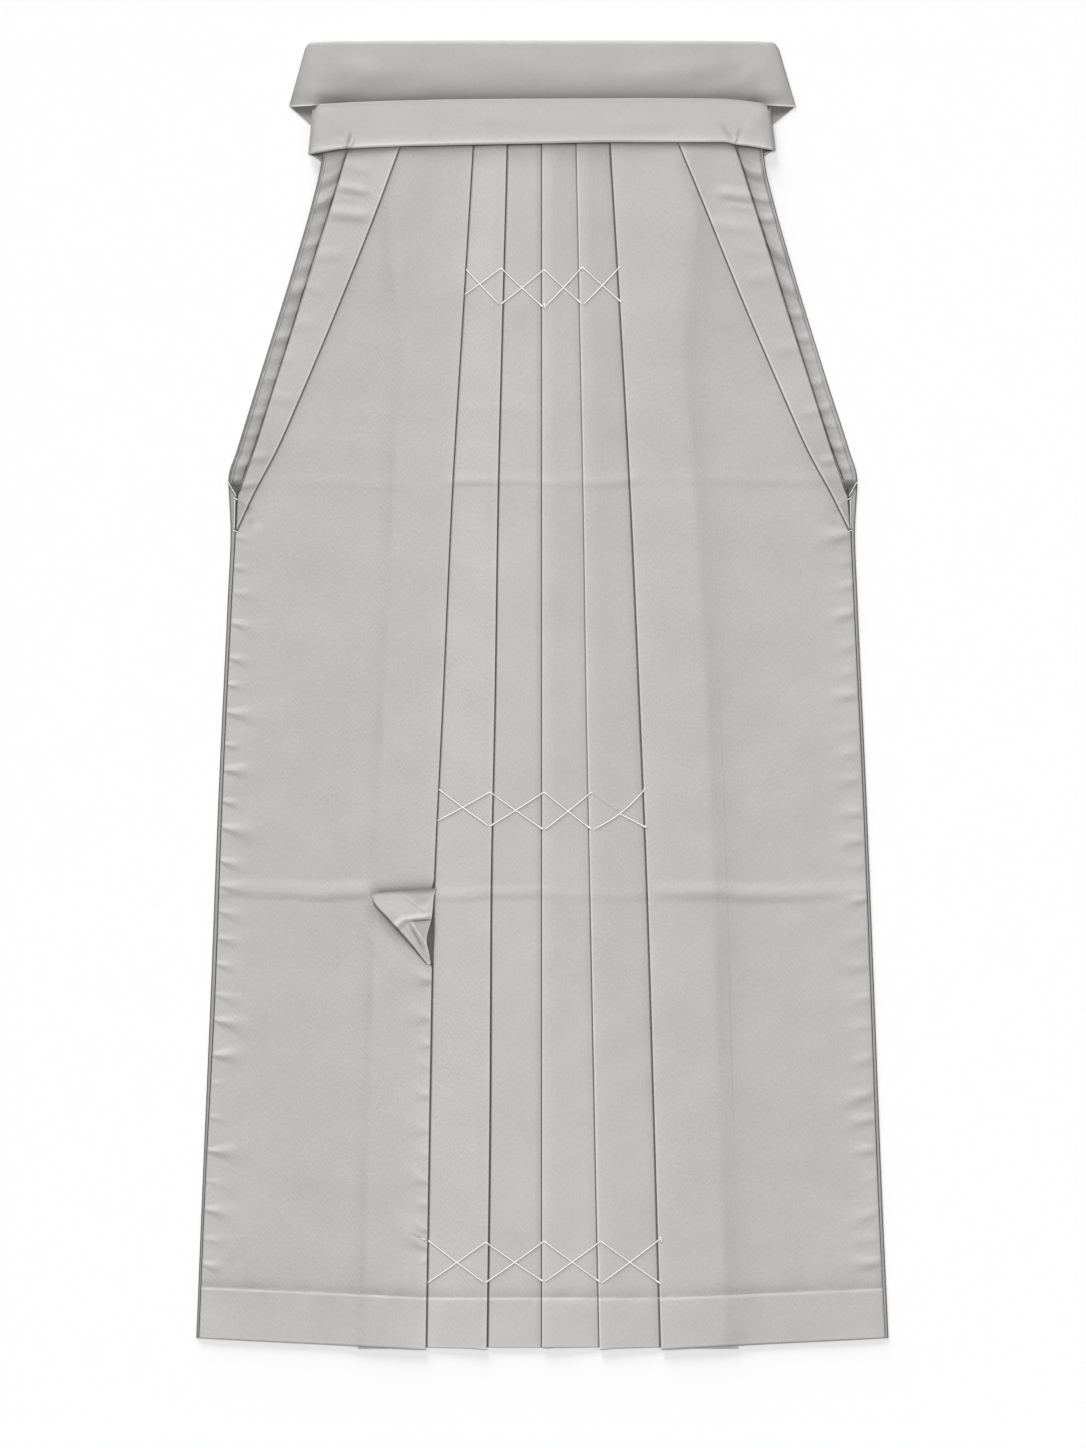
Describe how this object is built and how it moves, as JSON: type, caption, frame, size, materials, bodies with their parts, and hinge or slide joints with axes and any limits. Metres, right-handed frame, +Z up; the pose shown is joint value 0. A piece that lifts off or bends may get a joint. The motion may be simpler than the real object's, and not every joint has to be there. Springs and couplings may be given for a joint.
{
  "type": "hakama trousers",
  "caption": "Pleated wide-legged hakama trousers laid flat, front up, with waist bands and ties folded behind.",
  "frame": {"origin": "middle of the garment's length and width, on the surface that it lies on", "axes": "+X to the right as seen from above, +Y towards the waist, +Z up out of the front of the garment"},
  "size_m": [0.5264, 0.9934, 0.0083],
  "materials": {
    "cloth": "smooth pale grey cloth with a soft satin sheen",
    "band_cloth": "the same cloth, folded and lined",
    "thread": "white basting and sewing thread"
  },
  "bodies": {
    "root": {"back_left": "cloth", "back_right": "cloth", "front_left": "cloth", "front_right": "cloth", "side_pleat_left": "cloth", "side_pleat_right": "cloth", "crease_fold": "cloth", "front_band": "band_cloth", "back_band": "band_cloth"}
  },
  "joints": []
}
